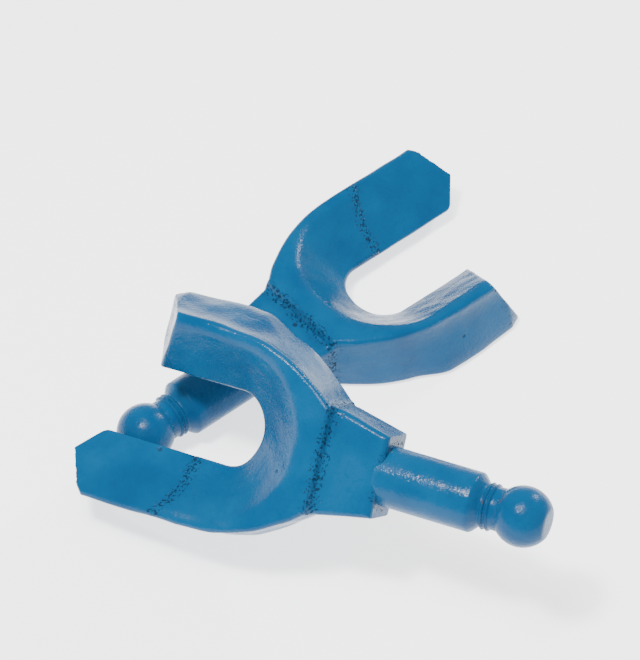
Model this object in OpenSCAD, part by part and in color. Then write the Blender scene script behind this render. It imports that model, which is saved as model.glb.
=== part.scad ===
// Pair of forged steel coupler forks, one lying flat and one leaning on it.
// Each fork: ball-ended round shank, tapered shoulder block, U-shaped jaw
// with one long and one short prong. All sizes in millimetres.

/* [Shank and ball] */
// Radius of the round shank
shank_r = 13; // [12:0.5:13]
// Length of the shank from the shoulder to its end chamfer
shank_len = 40; // [34:1:46]
// Chamfer at the end of the shank
shank_chamfer = 2.5; // [1:0.5:4]
// Radius of the turned neck between shank and ball
neck_r = 9.5; // [8:0.5:11]
// Radius of the ball on the end
ball_r = 13; // [11:0.5:13]
// Distance from the shoulder to the ball centre
ball_dist = 61; // [58:1:66]
// Distance from the ball centre to its flat end
ball_flat = 11.2; // [9:0.2:12]

/* [Shoulder block] */
// Length of the shoulder block, shoulder to the step of the jaw
block_len = 28; // [22:1:34]
// Half height of the block at the shoulder
block_h0 = 18; // [16:0.5:20]
// Half height of the block at the jaw
block_h1 = 24; // [21:0.5:26]
// Half thickness of the block
block_t = 13; // [12.5:0.5:14]

/* [Jaw] */
// Half thickness of the jaw
jaw_t = 16; // [15:0.5:18]
// Half width of the jaw over the prongs
jaw_w = 44.5; // [42:0.5:48]
// How much wider the jaw is below the parting line
back_wide = 3; // [1:0.5:3.5]
// Half width of the slot
slot_w = 16.5; // [15:0.5:17.5]
// Distance from the shoulder to the bottom of the slot
slot_x = 61; // [58:1:66]
// Height of the inner edge of the sloping jaw faces, below the middle plane
edge_drop = 4; // [2:0.5:6]
// Thickness of the land on the inner edge of the prongs
edge_land = 3; // [2:0.5:5]
// Slope of the front jaw faces in degrees
face_slope = 41; // [38:1:44]
// Slope of the undercut back faces in degrees
back_slope = 35; // [30:1:40]
// Distance from the shoulder to the tip of the long prong
long_x = 143; // [138:1:148]
// Distance from the shoulder to the tip of the short prong
short_x = 127; // [122:1:132]
// Distance from the shoulder to the start of the machined face
mill_x = 93; // [88:1:100]
// How much thinner the long prong is at its tip, taken off the back
tip_taper = 3; // [1:1:6]
// Depth of the machined face below the forged face
mill_depth = 1.6; // [0.8:0.2:2.4]

/* [Hidden] */
$fn = 64;
// shoulder centre of the fork that lies flat, jaw along +X
rear_pos = [-17.7, 64.8, jaw_t];
// shoulder centre and attitude of the leaning fork
front_pos = rear_pos + [-16.2, -109.2, 43.9];
front_rot = [-44.9, 7.6, 114.8];

slot_r = slot_w - 1;
slot_cx = slot_x + slot_r;
k = tan(face_slope);
kb = tan(back_slope);
back_z = -edge_drop - edge_land;
// where the sloping jaw face meets the front of the jaw
ridge_y = slot_w + (jaw_t + edge_drop) / k;
drop_n = mill_depth / cos(face_slope);

// outline of block and jaw seen square to the prongs; o widens the jaw
module plan(o) {
  polygon([
    [0, -block_h0], [block_len, -block_h1],
    [block_len + 8, -30], [block_len + 22, -37.5 - o], [block_len + 38, -43 - o],
    [block_len + 56, -jaw_w - o], [short_x - 17, -jaw_w - o],
    [short_x, -34], [short_x, -28], [short_x - 9, -slot_w],
    [slot_cx, -slot_w], [slot_cx, slot_w],
    [long_x - 9, slot_w], [long_x, 27], [long_x - 14, jaw_w + o],
    [block_len + 56, jaw_w + o], [block_len + 38, 43 + o],
    [block_len + 22, 37.5 + o], [block_len + 8, 30],
    [block_len, block_h1], [0, block_h0]
  ]);
}

// side view: block thickness, then the step up to the jaw
module side() {
  polygon([
    [-1, -block_t], [block_len - 2, -block_t], [block_len, -jaw_t],
    [long_x + 1, -jaw_t], [long_x + 1, jaw_t], [block_len, jaw_t],
    [block_len - 2, block_t], [-1, block_t]
  ]);
}

// wedge above one sloping jaw face, running along the prong from x0 to x1
module slope_cut(x0, x1, d) {
  translate([x0, 0, 0]) rotate([90, 0, 90])
    linear_extrude(height = x1 - x0)
      polygon([
        [0, -edge_drop - d], [slot_w, -edge_drop - d],
        [slot_w + (jaw_t + 1 + edge_drop + d) / k, jaw_t + 1], [0, jaw_t + 1]
      ]);
}

// wedge below one undercut back face
module back_cut(x0, x1) {
  translate([x0, 0, 0]) rotate([90, 0, 90])
    linear_extrude(height = x1 - x0)
      polygon([
        [0, back_z], [slot_w, back_z],
        [slot_w + (jaw_t + 1 + back_z) / kb, -jaw_t - 1], [0, -jaw_t - 1]
      ]);
}

module block_and_jaw() {
  difference() {
    intersection() {
      union() {
        translate([0, 0, -edge_drop]) linear_extrude(height = jaw_t + edge_drop + 1) plan(0);
        translate([0, 0, -jaw_t - 1]) linear_extrude(height = jaw_t + 1 - edge_drop) plan(back_wide);
      }
      rotate([90, 0, 0]) translate([0, 0, -jaw_w - 8])
        linear_extrude(height = 2 * jaw_w + 16) side();
    }
    // round bottom of the slot
    translate([slot_cx, 0, -jaw_t - 2]) cylinder(h = 2 * jaw_t + 4, r = slot_r);
    // funnel round the bottom of the slot
    translate([slot_cx, 0, -edge_drop])
      cylinder(h = jaw_t + edge_drop + 1, r1 = slot_r, r2 = slot_r + (jaw_t + edge_drop + 1) * 0.85);
    // undercut round the back of the slot
    translate([slot_cx, 0, -jaw_t - 1])
      cylinder(h = jaw_t + 1 + back_z, r1 = slot_w + (jaw_t + 1 + back_z) / kb, r2 = slot_w);
    back_cut(slot_cx, long_x + 5);
    mirror([0, 1, 0]) back_cut(slot_cx, long_x + 5);
    // sloping faces of both prongs
    slope_cut(slot_cx + 4, long_x + 5, 0);
    mirror([0, 1, 0]) slope_cut(slot_cx + 4, long_x + 5, 0);
    // machined face of the long prong
    slope_cut(mill_x, long_x + 5, drop_n);
    // back of the long prong, thinner towards the tip
    rotate([90, 0, 0]) translate([0, 0, -jaw_w - 8]) linear_extrude(height = jaw_w + 7)
      polygon([[slot_x, -jaw_t - 2], [slot_x, -jaw_t], [long_x + 5, -jaw_t + tip_taper], [long_x + 5, -jaw_t - 2]]);
    // bevelled tip of the short prong
    rotate([90, 0, 0]) translate([0, 0, 1]) linear_extrude(height = jaw_w + 8)
      polygon([[short_x - 23, jaw_t + 1], [short_x - 6, -jaw_t], [short_x - 6, -jaw_t - 1], [short_x + 10, -jaw_t - 1], [short_x + 10, jaw_t + 1]]);
  }
}

module shank_and_ball() {
  rotate([0, -90, 0]) {
    translate([0, 0, -1]) cylinder(h = shank_len + 1, r = shank_r);
    translate([0, 0, shank_len])
      cylinder(h = shank_chamfer, r1 = shank_r, r2 = shank_r - shank_chamfer);
    translate([0, 0, shank_len]) cylinder(h = ball_dist - shank_len, r = neck_r);
    intersection() {
      translate([0, 0, ball_dist]) sphere(r = ball_r);
      translate([-ball_r - 1, -ball_r - 1, ball_dist - ball_r - 1])
        cube([2 * ball_r + 2, 2 * ball_r + 2, ball_r + 1 + ball_flat]);
    }
  }
}

// one whole forging, shoulder centre at the origin, jaw along +X
module fork() {
  block_and_jaw();
  shank_and_ball();
}

module rear_fork() {
  color([0.05, 0.40, 0.65]) translate(rear_pos) fork();
}

module front_fork() {
  color([0.06, 0.44, 0.70]) translate(front_pos) rotate(front_rot) fork();
}

rear_fork();
front_fork();
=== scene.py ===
import math
import random

import bmesh
import bpy
import numpy as np
from mathutils import Euler, Matrix, Vector


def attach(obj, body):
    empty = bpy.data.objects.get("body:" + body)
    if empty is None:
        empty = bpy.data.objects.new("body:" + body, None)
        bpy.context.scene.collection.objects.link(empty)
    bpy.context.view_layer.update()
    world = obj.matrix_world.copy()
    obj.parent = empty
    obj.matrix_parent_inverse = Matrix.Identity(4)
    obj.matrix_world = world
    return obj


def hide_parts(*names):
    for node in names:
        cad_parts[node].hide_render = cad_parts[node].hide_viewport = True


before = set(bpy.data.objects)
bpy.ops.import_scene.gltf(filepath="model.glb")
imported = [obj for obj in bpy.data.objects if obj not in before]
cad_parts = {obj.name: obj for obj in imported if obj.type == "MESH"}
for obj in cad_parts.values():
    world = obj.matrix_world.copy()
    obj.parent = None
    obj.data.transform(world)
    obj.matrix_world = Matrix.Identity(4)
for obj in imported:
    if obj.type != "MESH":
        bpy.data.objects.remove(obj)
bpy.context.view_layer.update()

random.seed(7)
rng = np.random.default_rng(7)

MM = 0.001
REAR_POS = Vector((-17.7, 64.8, 16.0))
FRONT_POS = REAR_POS + Vector((-16.2, -109.2, 43.9))
FRONT_ROT = Euler([math.radians(a) for a in (-44.9, 7.6, 114.8)], "XYZ")

# the same driving sizes as the design, in millimetres
BLOCK_LEN, BLOCK_T, JAW_T, JAW_W = 28.0, 13.0, 16.0, 44.5
SLOT_W, EDGE_DROP, BACK_Z = 16.5, 4.0, -7.0
LONG_X, SHORT_X, MILL_X = 143.0, 127.0, 91.5


# ---------------------------------------------------------------- mesh tools
def new_object(name, bm):
    me = bpy.data.meshes.new(name)
    bmesh.ops.recalc_face_normals(bm, faces=bm.faces)
    bm.to_mesh(me)
    bm.free()
    ob = bpy.data.objects.new(name, me)
    bpy.context.scene.collection.objects.link(ob)
    return ob


def catmull(pts, per=6):
    out = []
    p = [np.array(q, float) for q in pts]
    p = [2 * p[0] - p[1]] + p + [2 * p[-1] - p[-2]]
    for i in range(1, len(p) - 2):
        for j in range(per):
            t = j / per
            out.append(0.5 * ((2 * p[i]) + (p[i + 1] - p[i - 1]) * t + (2 * p[i - 1] - 5 * p[i] + 4 * p[i + 1] - p[i + 2]) * t * t
                              + (-p[i - 1] + 3 * p[i] - 3 * p[i + 1] + p[i + 2]) * t ** 3))
    out.append(p[-2])
    return [tuple(q) for q in out]


def outline():
    """Outer outline of block and jaw, square to the prongs, with no slot."""
    side = [(BLOCK_LEN - 2, 23.7), (BLOCK_LEN + 1.5, 25.2), (BLOCK_LEN + 8, 30), (BLOCK_LEN + 22, 37.8), (BLOCK_LEN + 38, 42.8),
            (BLOCK_LEN + 56, JAW_W - 0.2)]
    plus = catmull(side)
    minus = [(x, -y) for x, y in plus]
    pts = [(0, -18)] + minus
    pts += [(SHORT_X - 15, -JAW_W), (SHORT_X - 5, -40.5), (SHORT_X, -33), (SHORT_X, -27), (SHORT_X - 9, -SLOT_W), (SHORT_X - 9, 0)]
    pts += [(LONG_X - 9, 0), (LONG_X - 9, SLOT_W), (LONG_X, 27), (LONG_X - 13, JAW_W)]
    pts += plus[::-1] + [(0, 18)]
    return np.array(pts, float)


OUTLINE = outline()


def poly_sdf(x, y, pts):
    d2 = np.full(x.shape, 1e9)
    inside = np.zeros(x.shape, bool)
    for (ax, ay), (bx, by) in zip(pts, np.roll(pts, -1, 0)):
        ex, ey = bx - ax, by - ay
        wx, wy = x - ax, y - ay
        t = np.clip((wx * ex + wy * ey) / (ex * ex + ey * ey + 1e-12), 0, 1)
        d2 = np.minimum(d2, (wx - ex * t) ** 2 + (wy - ey * t) ** 2)
        c = (ay > y) != (by > y)
        with np.errstate(divide="ignore", invalid="ignore"):
            xi = ax + (y - ay) * ex / (ey if ey else 1e-12)
        inside ^= c & (x < xi)
    return np.sqrt(d2) * np.where(inside, -1, 1)


def smax(a, b, k):
    """Maximum of two fields with an edge radius of about k."""
    u, v = np.maximum(a + k, 0), np.maximum(b + k, 0)
    return np.minimum(np.maximum(a, b), -k) + np.hypot(u, v)


def smin(a, b, k):
    return -smax(-a, -b, k)


def sstep(x, a, b):
    t = np.clip((x - a) / (b - a), 0, 1)
    return t * t * (3 - 2 * t)


SA, CA = math.sin(math.radians(41)), math.cos(math.radians(41))
SB, CB = math.sin(math.radians(35)), math.cos(math.radians(35))
MILL_DROP = 1.6


def field(x, y, z, plan):
    """Signed field of block and jaw: negative inside the steel."""
    # draft: the outer wall leans out towards the back
    lean = np.where(y < 0, 3.0 + 4.5 * sstep(x, 58, 76) * (1 - 0.35 * sstep(x, 84, 124)), 3.0 * (1 - sstep(x, 96, 112)))
    o = lean * sstep(x, 30, 60) * (1 - sstep(z, -15, 12))
    side = (plan - o) * 0.98
    # thickness with the step from block to jaw, front and back
    t = BLOCK_T - 0.35 + (JAW_T - BLOCK_T + 0.35) * sstep(x, BLOCK_LEN - 2.6, BLOCK_LEN + 0.2)
    # block face dips slightly along its top and bottom edges
    t = t - 0.9 * np.clip(np.abs(y) / 24, 0, 1) ** 2 * (1 - sstep(x, 20, 28))
    flat = np.abs(z) - t
    steep = np.abs(z) - BLOCK_T
    flat = np.where((x > BLOCK_LEN - 4) & (x < BLOCK_LEN + 2), flat * 0.72, flat)
    # the long prong gets thinner at the back
    back = -z - (16.0 - 3.0 * np.clip((x - 61) / 87, 0, 1) * (y > 0))
    flat = np.maximum(flat, back)
    body = smax(side, flat, 2.6)
    # slot: inner edge, sloping front face, undercut back face
    cx, ax = 75.2, 1.19
    r = np.where(x > cx, np.abs(y), np.hypot((x - cx) * ax, y))
    g = np.where(x > cx, 1.0, 1.0 / np.sqrt(1 + (ax * ax - 1) * np.clip((x - cx) * ax / np.maximum(r, 1e-6), -1, 1) ** 2))
    q = (r - SLOT_W) * g
    front = (z + EDGE_DROP) * CA - q * SA
    behind = (BACK_Z - z) * CB - q * SB
    # the forged front face is a little hollow near the slot bottom
    wall = -q
    slot = smax(smax(front, behind, 0.8), wall, 1.0)
    body = smax(body, slot, 2.0)
    # machined face of the long prong, crisp
    mp = (z + EDGE_DROP) * CA - (y - SLOT_W) * SA + MILL_DROP
    xm = MILL_X - 1.5 + 6.0 * sstep(y, 26, 46)
    cut = np.maximum(np.maximum(-mp, xm - x), -y)
    body = smax(body, -cut, 0.25)
    # bevelled tip of the short prong
    nx, nz = 33.0 / math.hypot(33, 17), 17.0 / math.hypot(33, 17)
    bev = (x - (SHORT_X - 23)) * nx + (z - (JAW_T + 1)) * nz
    bev = np.where(y < 2, bev, -50.0)
    body = smax(body, bev, 0.9)
    return body


def surface_nets(h):
    x = np.arange(-2 * h, LONG_X + 3 * h, h)
    y = np.arange(-JAW_W - 8 - 3 * h, JAW_W + 3 + 4 * h, h)
    z = np.arange(-JAW_T - 3 * h, JAW_T + 4 * h, h)
    X, Y = np.meshgrid(x, y, indexing="ij")
    P = poly_sdf(X, Y, OUTLINE)
    F = np.empty((len(x), len(y), len(z)), np.float32)
    for i, zz in enumerate(z):
        F[:, :, i] = field(X, Y, np.full_like(X, zz), P)
    S = F < 0
    nx, ny, nz = F.shape
    acc = np.zeros((nx - 1, ny - 1, nz - 1, 3), np.float32)
    cnt = np.zeros((nx - 1, ny - 1, nz - 1), np.float32)
    for ax in range(3):
        for a in (0, 1):
            for b in (0, 1):
                o0 = [0, 0, 0]
                others = [k for k in range(3) if k != ax]
                o0[others[0]], o0[others[1]] = a, b
                o1 = list(o0)
                o1[ax] = 1
                s0 = tuple(slice(o, o + n - 1) for o, n in zip(o0, F.shape))
                s1 = tuple(slice(o, o + n - 1) for o, n in zip(o1, F.shape))
                f0, f1 = F[s0], F[s1]
                m = (f0 < 0) != (f1 < 0)
                t = np.where(m, f0 / np.where(m, f0 - f1, 1), 0)
                p = np.zeros(acc.shape, np.float32)
                for k in range(3):
                    p[..., k] = o0[k]
                p[..., ax] += t
                acc += p * m[..., None]
                cnt += m
    act = cnt > 0
    idx = -np.ones(act.shape, np.int64)
    idx[act] = np.arange(act.sum())
    ii = np.argwhere(act)
    V = (acc[act] / cnt[act][:, None] + ii) * h + np.array([x[0], y[0], z[0]])
    faces = []
    for ax in range(3):
        o = [k for k in range(3) if k != ax]
        sl0 = [slice(None)] * 3
        sl1 = [slice(None)] * 3
        sl0[ax], sl1[ax] = slice(0, -1), slice(1, None)
        m = S[tuple(sl0)] != S[tuple(sl1)]
        e = np.argwhere(m)
        inside0 = S[tuple(sl0)][m]
        ok = (e[:, o[0]] > 0) & (e[:, o[1]] > 0) & (e[:, o[0]] < F.shape[o[0]] - 1) & (e[:, o[1]] < F.shape[o[1]] - 1)
        e, inside0 = e[ok], inside0[ok]
        quad = []
        for a, b in ((-1, -1), (0, -1), (0, 0), (-1, 0)):
            c = e.copy()
            c[:, o[0]] += a
            c[:, o[1]] += b
            quad.append(idx[c[:, 0], c[:, 1], c[:, 2]])
        quad = np.stack(quad, 1)
        flip = inside0 if ax != 1 else ~inside0
        quad[~flip] = quad[~flip][:, ::-1]
        faces.append(quad)
    faces = np.concatenate(faces)
    # pull the points on to the true surface
    def ev(p):
        return field(p[:, 0], p[:, 1], p[:, 2], poly_sdf(p[:, 0], p[:, 1], OUTLINE))
    V = V.astype(float)
    for _ in range(2):
        f0 = ev(V)
        e = 0.05
        g = np.stack([(ev(V + np.eye(3)[k] * e) - f0) / e for k in range(3)], 1)
        n2 = np.maximum((g * g).sum(1), 0.2)
        step = (f0 / n2)[:, None] * g
        ln = np.linalg.norm(step, axis=1, keepdims=True)
        V -= step * np.minimum(1, 0.5 * h / np.maximum(ln, 1e-9))
    return V, faces


def forging(name):
    V, faces = surface_nets(0.8)
    me = bpy.data.meshes.new(name)
    me.vertices.add(len(V))
    me.vertices.foreach_set("co", V.astype(np.float32).ravel())
    me.loops.add(faces.size)
    me.loops.foreach_set("vertex_index", faces.astype(np.int32).ravel())
    me.polygons.add(len(faces))
    me.polygons.foreach_set("loop_start", np.arange(0, faces.size, 4, dtype=np.int32))
    me.update(calc_edges=True)
    me.validate()
    # dark blotches where paint stayed broken and pitted: the wall line, the cut's shoulder, the shank root, the short
    # tip; on the wall line, the cut's shoulder and the shank root they are also painted shade of these shaded walls and
    # corners
    x, y, z = V.T
    xm = MILL_X - 1.5 + 6.0 * sstep(y, 26, 46)
    up = z > -13
    wear_and_shade = 0.9 * np.exp(-((x - BLOCK_LEN + 1.5) / 3.0) ** 2) * up
    wear_and_shade = np.maximum(wear_and_shade, 0.9 * np.exp(-((x - xm + 1.5) / 3.2) ** 2) * (y > 14) * up)
    wear_and_shade = np.maximum(wear_and_shade, 0.7 * np.exp(-(x / 3.0) ** 2) * (np.hypot(y, z) < 16))
    wear_and_shade = np.maximum(wear_and_shade, 0.40 * np.exp(-((x - SHORT_X + 12) / 9.0) ** 2) * (y < 0))
    wear_and_shade = np.maximum(wear_and_shade, 0.22 * np.exp(-((np.abs(y) - 42) / 4.0) ** 2) * (z < 2) * (x > 40))
    at = me.attributes.new("wear_and_shade", "FLOAT", "POINT")
    at.data.foreach_set("value", wear_and_shade.astype(np.float32))
    ob = bpy.data.objects.new(name, me)
    bpy.context.scene.collection.objects.link(ob)
    return ob


def revolve(name):
    """Turned shank, neck and ball, along -X from the shoulder."""
    prof = [(3, 0), (3, 13.0), (0.2, 13.0)]
    prof += [(-x, 13.0) for x in (0, 0.6, 5, 12, 20, 28, 36, 39.4)]
    prof += [(-40.0, 12.85), (-40.5, 12.5), (-42.3, 10.7), (-42.8, 10.2), (-43.3, 9.7), (-44.0, 9.3)]
    for c in (45.3, 47.6):
        prof += [(-(c - 0.9), 9.3), (-(c - 0.4), 10.0), (-c, 10.25), (-(c + 0.4), 10.0), (-(c + 0.9), 9.3)]
    th0 = math.asin(9.6 / 13.0)
    prof += [(-49.6, 9.25), (-51.0, 9.3), (-61 + 13 * math.cos(th0) - 0.3, 9.55)]
    th1 = math.pi - math.acos(11.2 / 13.0)
    for i in range(25):
        th = th0 + (th1 - 0.05 - th0) * i / 24
        prof.append((-61 + 13 * math.cos(th), 13 * math.sin(th)))
    rf = 13 * math.sin(th1)
    prof += [(-72.1, rf - 0.2), (-72.2, rf - 0.7), (-72.2, rf * 0.5), (-72.2, 0)]
    n = 96
    bm = bmesh.new()
    rings = []
    for x, r in prof:
        if r == 0:
            rings.append([bm.verts.new((x, 0, 0))])
        else:
            rings.append([bm.verts.new((x, r * math.cos(2 * math.pi * i / n), r * math.sin(2 * math.pi * i / n))) for i in range(n)])
    for a, b in zip(rings[:-1], rings[1:]):
        for i in range(n):
            j = (i + 1) % n
            if len(a) == 1:
                bm.faces.new((a[0], b[j], b[i]))
            elif len(b) == 1:
                bm.faces.new((a[i], a[j], b[0]))
            else:
                bm.faces.new((a[i], a[j], b[j], b[i]))
    return new_object(name, bm)


def sculpt(ob, seed):
    """Gentle unevenness of the forged skin and a slight burr of paint."""
    me = ob.data
    co = np.zeros(len(me.vertices) * 3, np.float32)
    me.vertices.foreach_get("co", co)
    co = co.reshape(-1, 3)
    no = np.zeros_like(co).ravel()
    me.vertices.foreach_get("normal", no)
    no = no.reshape(-1, 3)
    r = np.random.default_rng(seed)
    d = np.zeros(len(co))
    for wl, amp in ((34, 0.16), (17, 0.10), (9, 0.05)):
        for _ in range(5):
            k = r.normal(size=3)
            k *= 2 * math.pi / wl / np.linalg.norm(k)
            d += amp / 2.2 * np.sin(co @ k + r.uniform(0, 6.28))
    # the machined face stays flat
    n = np.array([0, -math.sin(math.radians(41)), math.cos(math.radians(41))])
    plane = np.abs((co - np.array([0, SLOT_W, -EDGE_DROP - MILL_DROP / CA])) @ n)
    d *= np.clip(plane / 2.0, 0, 1) * (co[:, 0] > 0.5)
    co = co + no * (d - 0.12)[:, None] * (co[:, 0] > 0.5)[:, None]
    me.vertices.foreach_set("co", co.astype(np.float32).ravel())
    me.update()


def make_fork(name, matrix, seed):
    body = forging(name)
    sculpt(body, seed)
    shank = revolve(name + "_shank")
    bm = bmesh.new()
    bm.from_mesh(body.data)
    bm.from_mesh(shank.data)
    bpy.data.objects.remove(shank, do_unlink=True)
    bmesh.ops.transform(bm, matrix=matrix @ Matrix.Scale(MM, 4), verts=bm.verts)
    me = bpy.data.meshes.new(name)
    bm.to_mesh(me)
    bm.free()
    old = body.data
    body.data = me
    bpy.data.meshes.remove(old)
    me.polygons.foreach_set("use_smooth", [True] * len(me.polygons))
    me.set_sharp_from_angle(angle=math.radians(34))
    return body


# ---------------------------------------------------------------- materials
def nodes_of(name):
    mat = bpy.data.materials.new(name)
    mat.use_nodes = True
    nt = mat.node_tree
    nt.nodes.clear()
    return mat, nt


def paint(name, offset):
    mat, nt = nodes_of(name)
    N, L = nt.nodes, nt.links

    def add(kind, **kw):
        n = N.new(kind)
        for k, v in kw.items():
            if k.startswith("i_"):
                n.inputs[k[2:].replace("_", " ")].default_value = v
            else:
                setattr(n, k, v)
        return n

    out = add("ShaderNodeOutputMaterial")
    bsdf = add("ShaderNodeBsdfPrincipled")
    L.new(bsdf.outputs["BSDF"], out.inputs["Surface"])
    tc = add("ShaderNodeTexCoord")
    mp = add("ShaderNodeMapping")
    mp.inputs["Location"].default_value = offset
    L.new(tc.outputs["Object"], mp.inputs["Vector"])
    vec = mp.outputs["Vector"]

    def noise(scale, detail=3.0, rough=0.5):
        n = add("ShaderNodeTexNoise")
        n.inputs["Scale"].default_value = scale
        n.inputs["Detail"].default_value = detail
        n.inputs["Roughness"].default_value = rough
        L.new(vec, n.inputs["Vector"])
        return n.outputs["Fac"]

    def ramp(fac, a, b, ca=(0, 0, 0, 1), cb=(1, 1, 1, 1)):
        r = add("ShaderNodeValToRGB")
        r.color_ramp.elements[0].position = a
        r.color_ramp.elements[1].position = b
        r.color_ramp.elements[0].color = ca
        r.color_ramp.elements[1].color = cb
        L.new(fac, r.inputs["Fac"])
        return r.outputs["Color"]

    def math_(op, a, b):
        m = add("ShaderNodeMath", operation=op)
        for i, v in enumerate((a, b)):
            if isinstance(v, (int, float)):
                m.inputs[i].default_value = v
            else:
                L.new(v, m.inputs[i])
        return m.outputs[0]

    def mix(fac, a, b):
        m = add("ShaderNodeMix", data_type="RGBA")
        if isinstance(fac, (int, float)):
            m.inputs["Factor"].default_value = fac
        else:
            L.new(fac, m.inputs["Factor"])
        for s, v in (("A", a), ("B", b)):
            sock = [i for i in m.inputs if i.name == s and i.type == "RGBA"][0]
            if isinstance(v, tuple):
                sock.default_value = v
            else:
                L.new(v, sock)
        return [o for o in m.outputs if o.type == "RGBA"][0]

    geo = add("ShaderNodeNewGeometry")
    point = geo.outputs["Pointiness"]
    # colour: slow cloudy variation, painted highlight on convex edges, dirt specks and painted shade in concave corners
    base = mix(ramp(noise(38, 4), 0.35, 0.68), (0.0045, 0.058, 0.150, 1), (0.0075, 0.079, 0.185, 1))
    base = mix(math_("MULTIPLY", ramp(noise(420, 2), 0.55, 0.8), 0.25), base, (0.003, 0.040, 0.110, 1))
    # painted highlight: convex edges are lightened towards a paler blue
    edge_highlight_mask = ramp(point, 0.53, 0.60)
    base = mix(math_("MULTIPLY", edge_highlight_mask, 0.35), base, (0.020, 0.110, 0.205, 1))
    # painted shade: concave corners are darkened, broken up by dirt specks
    concave_shade_mask = ramp(point, 0.40, 0.475, (1, 1, 1, 1), (0, 0, 0, 1))
    speck = ramp(noise(900, 2, 0.6), 0.50, 0.60)
    # mask of broken paint and of painted shade on the step walls and shank root
    wear_and_shade_fac = add("ShaderNodeAttribute", attribute_name="wear_and_shade").outputs["Fac"]
    blot_and_shade = ramp(math_("ADD", noise(820, 3, 0.65), math_("MULTIPLY", wear_and_shade_fac, 0.125)), 0.645, 0.680)
    dirt_and_shade = math_("MAXIMUM", math_("MULTIPLY", concave_shade_mask, speck), math_("MULTIPLY", blot_and_shade, ramp(wear_and_shade_fac, 0.15, 0.35)))
    # darkens the paint with dirt specks, pits and painted shade in concave corners, on the shaded step walls and at the
    # shank root
    base = mix(math_("MULTIPLY", dirt_and_shade, 0.85), base, (0.003, 0.016, 0.034, 1))
    # sparse chips with dark metal and a little rust
    vor = add("ShaderNodeTexVoronoi")
    vor.inputs["Scale"].default_value = 130
    L.new(vec, vor.inputs["Vector"])
    cell = ramp(vor.outputs["Distance"], 0.10, 0.16, (1, 1, 1, 1), (0, 0, 0, 1))
    patch = ramp(noise(26, 2), 0.60, 0.66)
    chip = math_("MULTIPLY", cell, patch)
    base = mix(math_("MULTIPLY", chip, 0.8), base, (0.006, 0.015, 0.025, 1))
    rust = math_("MULTIPLY", ramp(noise(140, 3), 0.70, 0.73), ramp(point, 0.52, 0.56))
    base = mix(math_("MULTIPLY", rust, 0.7), base, (0.10, 0.045, 0.02, 1))
    L.new(base, bsdf.inputs["Base Color"])
    # gloss paint over an uneven surface
    rough = ramp(noise(60, 4), 0.3, 0.75, (0.14, 0.14, 0.14, 1), (0.32, 0.32, 0.32, 1))
    rough2 = mix(math_("MAXIMUM", dirt_and_shade, chip), rough, (0.7, 0.7, 0.7, 1))
    L.new(rough2, bsdf.inputs["Roughness"])
    bsdf.inputs["Metallic"].default_value = 0.0
    bsdf.inputs["Specular IOR Level"].default_value = 0.11
    b1 = add("ShaderNodeBump")
    b1.inputs["Strength"].default_value = 0.35
    b1.inputs["Distance"].default_value = 0.0006
    L.new(noise(230, 3, 0.55), b1.inputs["Height"])
    b2 = add("ShaderNodeBump")
    b2.inputs["Strength"].default_value = 0.50
    b2.inputs["Distance"].default_value = 0.0003
    L.new(noise(800, 2, 0.6), b2.inputs["Height"])
    L.new(b1.outputs["Normal"], b2.inputs["Normal"])
    b3 = add("ShaderNodeBump", invert=True)
    b3.inputs["Strength"].default_value = 0.8
    b3.inputs["Distance"].default_value = 0.0006
    L.new(math_("MAXIMUM", dirt_and_shade, chip), b3.inputs["Height"])
    L.new(b2.outputs["Normal"], b3.inputs["Normal"])
    L.new(b3.outputs["Normal"], bsdf.inputs["Normal"])
    return mat


rear_m = Matrix.Translation(REAR_POS * MM)
front_m = Matrix.Translation(FRONT_POS * MM) @ FRONT_ROT.to_matrix().to_4x4()
for name, node, mtx, seed, off in (
    ("rear_forging", "rear_fork", rear_m, 3, (0.0, 0.0, 0.0)),
    ("front_forging", "front_fork", front_m, 11, (0.37, 0.21, 0.5)),
):
    ob = make_fork(name, mtx, seed)
    ob.data.materials.clear()
    ob.data.materials.append(paint("paint_" + node, off))
    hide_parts(node)
    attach(ob, node)

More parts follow.
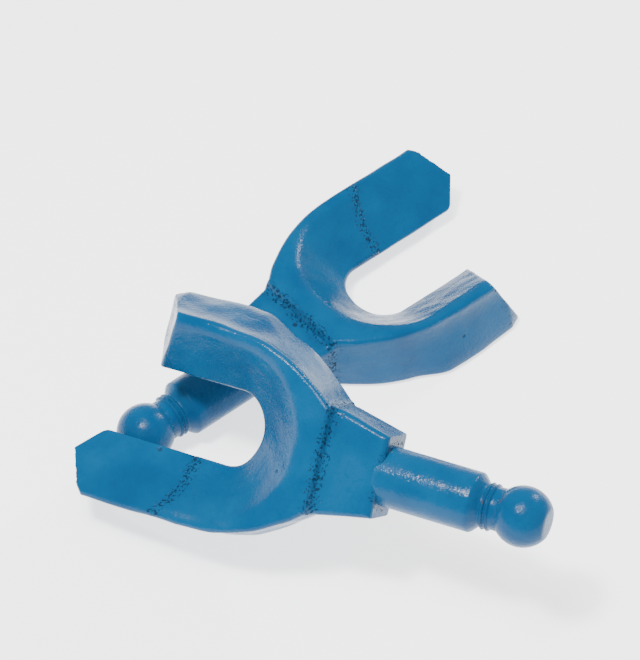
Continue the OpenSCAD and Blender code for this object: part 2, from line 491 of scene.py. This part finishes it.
# ---------------------------------------------------------------- floor, light, camera
bm = bmesh.new()
bmesh.ops.create_grid(bm, x_segments=2, y_segments=2, size=6.0)
floor = new_object("floor", bm)
floor.location = (0, 0, -0.0002)
fm, nt = nodes_of("floor_paper")
o = nt.nodes.new("ShaderNodeOutputMaterial")
d = nt.nodes.new("ShaderNodeBsdfPrincipled")
d.inputs["Base Color"].default_value = (0.90, 0.90, 0.90, 1)
d.inputs["Roughness"].default_value = 1.0
d.inputs["Specular IOR Level"].default_value = 0.0
d.inputs["Emission Color"].default_value = (1, 1, 1, 1)
d.inputs["Emission Strength"].default_value = 1.8
nt.links.new(d.outputs["BSDF"], o.inputs["Surface"])
floor.data.materials.append(fm)

world = bpy.data.worlds.new("studio")
world.use_nodes = True
bg = world.node_tree.nodes["Background"]
bg.inputs["Color"].default_value = (0.96, 0.98, 1.0, 1)
bg.inputs["Strength"].default_value = 0.60
bpy.context.scene.world = world

RC = Matrix(((0.763074, -0.645833, 0.024856), (-0.491272, -0.604586, -0.626998), (0.419963, 0.466235, -0.778624)))
right, down, fwd = RC[0].normalized(), RC[1].normalized(), RC[2].normalized()
cam_pos = Vector((-0.60078, -0.62669, 1.16364))


def area(name, pos, target, size, energy):
    ld = bpy.data.lights.new(name, "AREA")
    ld.size = size
    ld.energy = energy
    lo = bpy.data.objects.new(name, ld)
    bpy.context.scene.collection.objects.link(lo)
    lo.location = pos
    lo.rotation_euler = (Vector(target) - Vector(pos)).to_track_quat("-Z", "Y").to_euler()
    return lo


centre = Vector((0, 0, 0.03))
area("key", centre - fwd * 1.0 - down * 0.55 - right * 0.35, centre, 0.15, 17.0)
area("top", Vector((-0.25, 0.05, 1.3)), centre, 0.4, 11.0)
area("side", centre + Vector((1.0, 0.15, 0.55)), centre, 0.15, 8.0)

cd = bpy.data.cameras.new("camera")
cd.sensor_fit = "VERTICAL"
cd.sensor_height = 36.0
cd.lens = 177.657
cd.clip_start = 0.05
cd.clip_end = 50
cam = bpy.data.objects.new("camera", cd)
bpy.context.scene.collection.objects.link(cam)
rot = Matrix((right, -down, -fwd)).transposed()
cam.matrix_world = Matrix.Translation(cam_pos) @ rot.to_4x4()
bpy.context.scene.camera = cam

bpy.context.view_layer.update()
